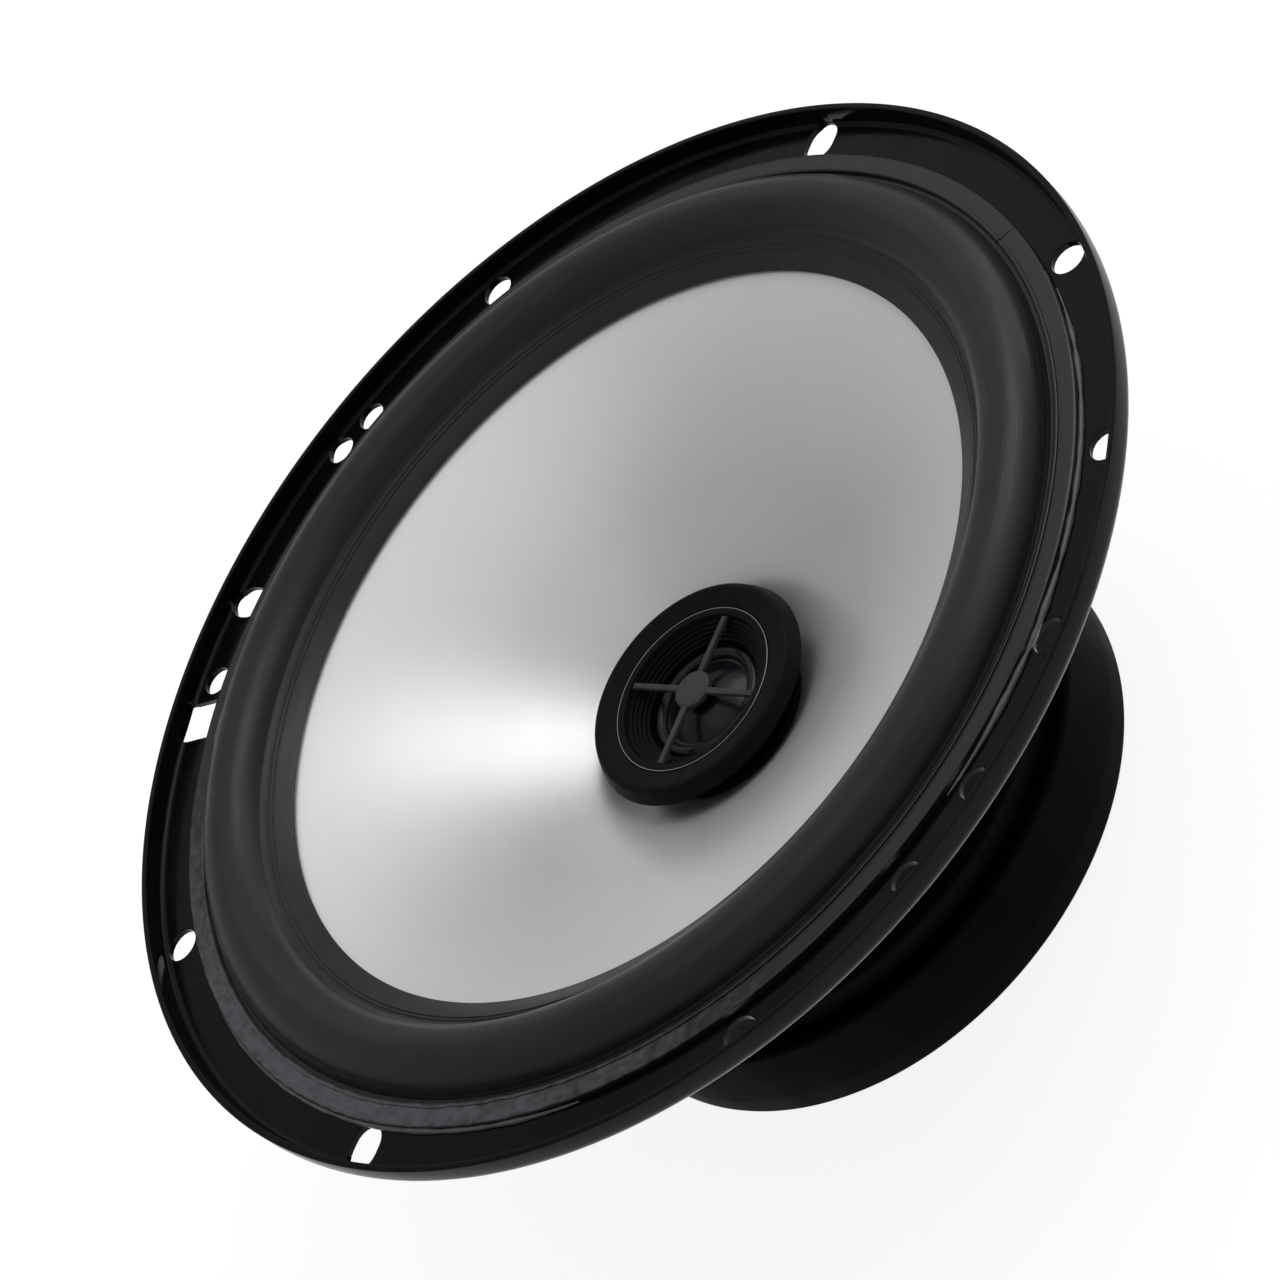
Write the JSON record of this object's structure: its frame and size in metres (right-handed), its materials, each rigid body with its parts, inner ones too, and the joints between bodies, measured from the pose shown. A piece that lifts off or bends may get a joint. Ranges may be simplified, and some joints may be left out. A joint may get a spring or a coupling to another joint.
{
  "type": "coaxial car speaker",
  "caption": "Round coaxial car speaker: pressed steel basket with a drilled flange, rubber surround, silver cone, ring magnet in a boot, and a dome tweeter on a fixed post in the middle.",
  "frame": {"origin": "centre of the mounting flange's rear seating face, on the speaker's axis", "axes": "+Z out of the front of the cone, -Z to the magnet; +X through one of the four radial screw slots"},
  "size_m": [0.165, 0.165, 0.0627],
  "materials": {
    "black_paint": "gloss black baked paint on pressed steel",
    "surround_rubber": "satin black rubber",
    "trim_rubber": "smooth black rubber gasket",
    "silver_cone": "satin silver metallised polymer",
    "former_film": "plain thin aluminium",
    "copper_wire": "lacquered copper winding",
    "spider_cloth": "resin-stiffened yellow cloth",
    "zinc_steel": "zinc-plated steel",
    "ferrite": "dark ground ferrite",
    "boot_rubber": "smooth black rubber",
    "fibre_board": "brown fibre board",
    "tinned_tab": "tinned brass",
    "braid": "braided copper tinsel",
    "tweeter_plastic": "fine-grained black plastic",
    "dome_film": "thin translucent film with a faint colour sheen",
    "neodymium": "nickel-plated magnet",
    "capacitor_sleeve": "blue shrink sleeve",
    "wire_jacket": "red insulated wire"
  },
  "bodies": {
    "chassis": {"basket": "black_paint", "trim_ring": "trim_rubber", "surround": "surround_rubber", "spider": "spider_cloth", "top_plate": "zinc_steel", "magnet": "ferrite", "pole_yoke": "zinc_steel", "magnet_boot": "boot_rubber", "basket_rivets": "zinc_steel", "terminal_board": "fibre_board", "positive_tab": "tinned_tab", "negative_tab": "tinned_tab", "terminal_rivets": "tinned_tab", "tinsel_leads": "braid", "tweeter_post": "zinc_steel", "post_nut": "zinc_steel", "tweeter_housing": "tweeter_plastic", "tweeter_bezel": "tweeter_plastic", "tweeter_waveguide": "tweeter_plastic", "tweeter_grille": "tweeter_plastic", "tweeter_dome_edge": "dome_film", "tweeter_pole_plate": "zinc_steel", "tweeter_magnet": "neodymium", "tweeter_yoke": "zinc_steel", "crossover_capacitor": "capacitor_sleeve", "tweeter_leads": "wire_jacket"},
    "cone_assembly": {"cone": "silver_cone", "voice_coil_former": "former_film", "voice_coil_winding": "copper_wire"},
    "tweeter_diaphragm": {"tweeter_dome": "dome_film", "tweeter_coil": "copper_wire"}
  },
  "joints": [
    {"name": "cone_travel", "type": "slide", "parent": "chassis", "child": "cone_assembly", "axis": [0, 0, 1], "range_m": [-0.0025, 0.0025], "stiffness_N_per_m": 1500, "deforming": ["surround", "spider", "tinsel_leads"]},
    {"name": "dome_travel", "type": "slide", "parent": "chassis", "child": "tweeter_diaphragm", "axis": [0, 0, 1], "range_m": [-0.0002, 0.0002], "stiffness_N_per_m": 60, "deforming": ["tweeter_dome_edge"]}
  ]
}
